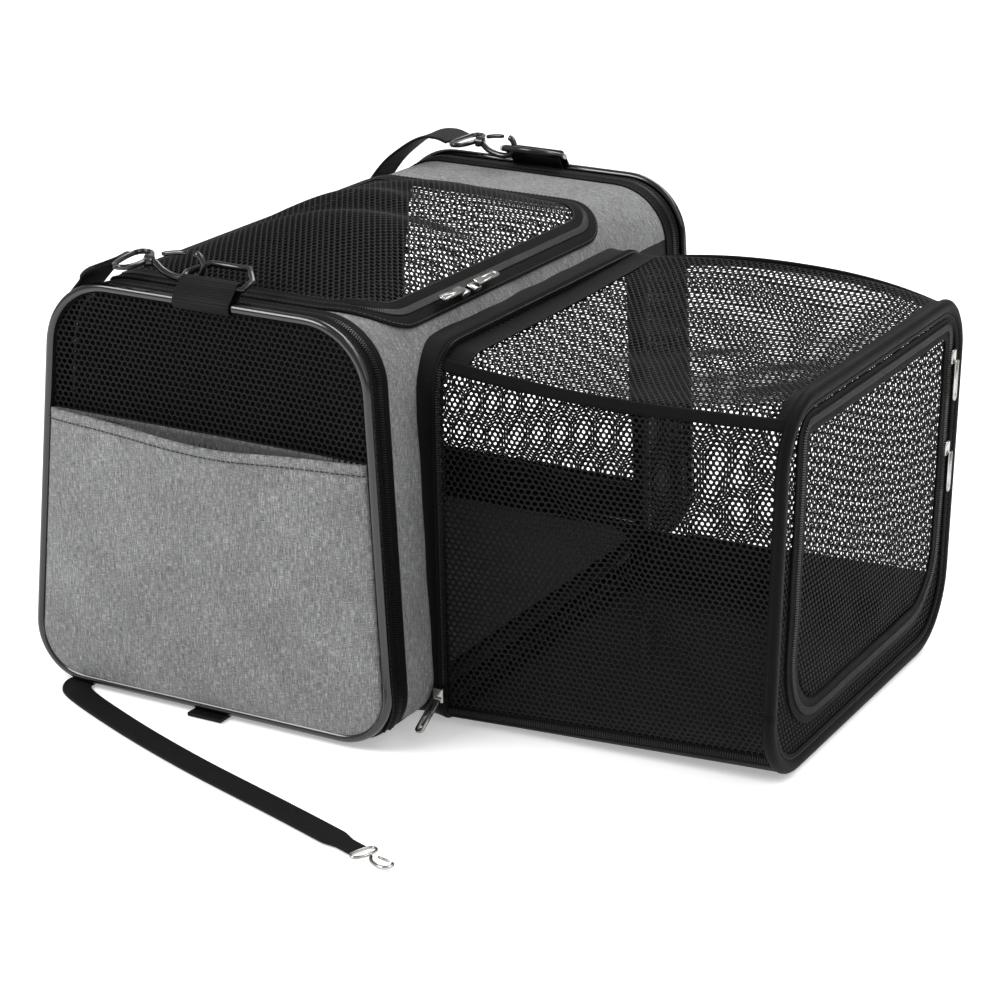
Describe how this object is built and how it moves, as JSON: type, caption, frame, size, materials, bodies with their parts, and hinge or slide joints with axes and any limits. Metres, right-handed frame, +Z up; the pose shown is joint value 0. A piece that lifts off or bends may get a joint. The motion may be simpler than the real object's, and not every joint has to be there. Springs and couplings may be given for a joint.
{
  "type": "pet carrier bag",
  "caption": "Soft-sided pet carrier bag with net windows, zipped end doors and top flap, and a fold-out net extension on one side.",
  "frame": {"origin": "bottom centre of the whole bag with its extension open, without the shoulder strap and the tether", "axes": "+X towards the extension, +Y from the pocket end (front) to the net end (rear), +Z up"},
  "size_m": [0.5575, 0.5999, 0.3027],
  "materials": {
    "heather": "heather grey polyester with vertical slubs",
    "net": "black knitted mesh with oval holes about 2.5 mm across",
    "black_webbing": "black polyester webbing and binding",
    "zip_tape": "black coil zip on woven tape",
    "lining": "dark grey lining cloth",
    "mat": "grey fleece pad over a stiff board",
    "pvc": "glossy black PVC over a wire",
    "moulded": "glossy black moulded plastic",
    "nickel": "bright nickel-plated zinc"
  },
  "bodies": {
    "carrier": {"bottom_panel": "heather", "left_side_panel": "heather", "right_side_panel": "heather", "top_panel": "heather", "cabin_mat": "mat", "extension_inner_frame": "black_webbing", "front_body_zip_half": "zip_tape", "rear_body_zip_half": "zip_tape", "top_zip_tape": "zip_tape", "front_bottom_tab": "black_webbing", "shoulder_strap_front": "black_webbing", "shoulder_strap_rear": "black_webbing", "strap_adjuster": "moulded", "tether_webbing": "black_webbing", "tether_hook_eye": "nickel"},
    "front_door": {"front_door_zip_half": "zip_tape", "front_piping": "pvc", "front_lining": "lining", "front_window_net": "net", "front_pocket": "heather", "front_ring_webbing": "black_webbing", "front_snap_hook_eye": "moulded", "front_snap_hook": "moulded"},
    "front_ring": {"front_d_ring": "moulded"},
    "front_hook_gate": {"front_snap_hook_gate": "moulded"},
    "rear_door": {"rear_door_zip_half": "zip_tape", "rear_piping": "pvc", "rear_window_net": "net", "rear_kick_panel": "heather", "rear_ring_webbing": "black_webbing", "rear_snap_hook_eye": "moulded", "rear_snap_hook": "moulded"},
    "rear_ring": {"rear_d_ring": "moulded"},
    "rear_hook_gate": {"rear_snap_hook_gate": "moulded"},
    "top_flap": {"top_flap_net": "net", "top_flap_binding": "black_webbing"},
    "extension": {"extension_outer_frame": "black_webbing", "extension_outer_net": "net", "extension_top_net": "net", "extension_floor": "black_webbing", "extension_front_net": "net", "extension_rear_net": "net"},
    "extension_door": {"extension_door_net": "net", "extension_door_binding": "black_webbing"},
    "tether_hook": {"tether_hook": "nickel"},
    "tether_hook_gate": {"tether_hook_gate": "nickel"},
    "front_door_slider": {"front_door_slider": "nickel"},
    "front_door_pull": {"front_door_pull": "nickel"},
    "rear_door_slider": {"rear_door_slider": "nickel"},
    "rear_door_pull": {"rear_door_pull": "nickel"},
    "flap_front_slider": {"flap_front_slider": "nickel"},
    "flap_front_pull": {"flap_front_pull": "nickel"},
    "flap_rear_slider": {"flap_rear_slider": "nickel"},
    "flap_rear_pull": {"flap_rear_pull": "nickel"},
    "extension_zip_slider": {"extension_zip_slider": "nickel"},
    "extension_zip_pull": {"extension_zip_pull": "nickel"},
    "extension_door_upper_slider": {"extension_door_upper_slider": "nickel"},
    "extension_door_upper_pull": {"extension_door_upper_pull": "nickel"},
    "extension_door_lower_slider": {"extension_door_lower_slider": "nickel"},
    "extension_door_lower_pull": {"extension_door_lower_pull": "nickel"}
  },
  "joints": [
    {"name": "front_door_hinge", "type": "hinge", "parent": "carrier", "child": "front_door", "pos_m": [-0.11495, -0.2237, 0.0062], "axis": [1, 0, 0], "range_deg": [0, 80], "deforming": ["shoulder_strap_front"]},
    {"name": "rear_door_hinge", "type": "hinge", "parent": "carrier", "child": "rear_door", "pos_m": [-0.11495, 0.2313, 0.0062], "axis": [-1, 0, 0], "range_deg": [0, 85], "deforming": ["shoulder_strap_rear"]},
    {"name": "front_ring_hinge", "type": "hinge", "parent": "front_door", "child": "front_ring", "pos_m": [-0.11495, -0.2152, 0.2825], "axis": [1, 0, 0], "range_deg": [-5, 5]},
    {"name": "rear_ring_hinge", "type": "hinge", "parent": "rear_door", "child": "rear_ring", "pos_m": [-0.11495, 0.2228, 0.2825], "axis": [-1, 0, 0], "range_deg": [-5, 5]},
    {"name": "front_snap_hook_gate_hinge", "type": "hinge", "parent": "front_door", "child": "front_hook_gate", "pos_m": [-0.15559, -0.20841, 0.29504], "axis": [-0.1868, 0.9824, 0], "range_deg": [0, 12], "stiffness_Nm_per_rad": 0.02},
    {"name": "rear_snap_hook_gate_hinge", "type": "hinge", "parent": "rear_door", "child": "rear_hook_gate", "pos_m": [-0.15095, 0.2108, 0.2928], "axis": [0, 1, 0], "range_deg": [0, 12], "stiffness_Nm_per_rad": 0.02},
    {"name": "top_flap_hinge", "type": "hinge", "parent": "carrier", "child": "top_flap", "pos_m": [-0.20395, 0.0038, 0.26923], "axis": [0, -1, 0], "range_deg": [0, 105]},
    {"name": "extension_fold", "type": "slide", "parent": "carrier", "child": "extension", "axis": [-1, 0, 0], "range_m": [0, 0.2], "deforming": ["extension_top_net", "extension_floor", "extension_front_net", "extension_rear_net"]},
    {"name": "extension_door_hinge", "type": "hinge", "parent": "extension", "child": "extension_door", "pos_m": [0.24305, 0.0038, 0.229], "axis": [0, -1, 0], "range_deg": [0, 120]},
    {"name": "front_door_slide", "type": "slide", "parent": "carrier", "child": "front_door_slider", "axis": [0.0773, 0, 0.997], "range_m": [0, 0.12]},
    {"name": "front_door_pull_hinge", "type": "hinge", "parent": "front_door_slider", "child": "front_door_pull", "pos_m": [-0.24725, -0.20345, 0.05824], "axis": [0, 1, 0], "range_deg": [0, 120]},
    {"name": "rear_door_slide", "type": "slide", "parent": "carrier", "child": "rear_door_slider", "axis": [0.0773, 0, 0.997], "range_m": [0, 0.12]},
    {"name": "rear_door_pull_hinge", "type": "hinge", "parent": "rear_door_slider", "child": "rear_door_pull", "pos_m": [-0.24725, 0.21105, 0.05824], "axis": [0, 1, 0], "range_deg": [0, 120]},
    {"name": "flap_front_slide", "type": "slide", "parent": "carrier", "child": "flap_front_slider", "axis": [0, -1, 0], "range_m": [0, 0.03]},
    {"name": "flap_front_pull_hinge", "type": "hinge", "parent": "flap_front_slider", "child": "flap_front_pull", "pos_m": [-0.00876, -0.0882, 0.26591], "axis": [-0.9439, 0, 0.3304], "range_deg": [0, 120]},
    {"name": "flap_rear_slide", "type": "slide", "parent": "carrier", "child": "flap_rear_slider", "axis": [0, 1, 0], "range_m": [0, 0.12]},
    {"name": "flap_rear_pull_hinge", "type": "hinge", "parent": "flap_rear_slider", "child": "flap_rear_pull", "pos_m": [-0.00876, -0.0692, 0.26591], "axis": [0.9439, 0, -0.3304], "range_deg": [0, 120]},
    {"name": "extension_zip_slide", "type": "slide", "parent": "carrier", "child": "extension_zip_slider", "axis": [-0.0409, 0, 0.9992], "range_m": [0, 0.17]},
    {"name": "extension_zip_pull_hinge", "type": "hinge", "parent": "extension_zip_slider", "child": "extension_zip_pull", "pos_m": [0.02121, -0.1716, 0.0205], "axis": [-0.9992, 0, -0.0409], "range_deg": [-12, 55]},
    {"name": "extension_door_upper_slide", "type": "slide", "parent": "extension", "child": "extension_door_upper_slider", "axis": [0, 0, 1], "range_m": [-0.025, 0.01]},
    {"name": "extension_door_upper_pull_hinge", "type": "hinge", "parent": "extension_door_upper_slider", "child": "extension_door_upper_pull", "pos_m": [0.24945, 0.1256, 0.204], "axis": [0, -1, 0], "range_deg": [0, 120]},
    {"name": "extension_door_lower_slide", "type": "slide", "parent": "extension", "child": "extension_door_lower_slider", "axis": [0, 0, 1], "range_m": [-0.03, 0]},
    {"name": "extension_door_lower_pull_hinge", "type": "hinge", "parent": "extension_door_lower_slider", "child": "extension_door_lower_pull", "pos_m": [0.24945, 0.1256, 0.14], "axis": [0, -1, 0], "range_deg": [0, 120]},
    {"name": "tether_hook_swivel", "type": "hinge", "parent": "carrier", "child": "tether_hook", "pos_m": [0.07225, -0.3507, 0.0022], "axis": [0.9344, -0.3562, 0], "range_deg": [-180, 180]},
    {"name": "tether_hook_gate_hinge", "type": "hinge", "parent": "tether_hook", "child": "tether_hook_gate", "pos_m": [0.08245, -0.3518, 0.0022], "axis": [0, 0, -1], "range_deg": [0, 12], "stiffness_Nm_per_rad": 0.01}
  ]
}
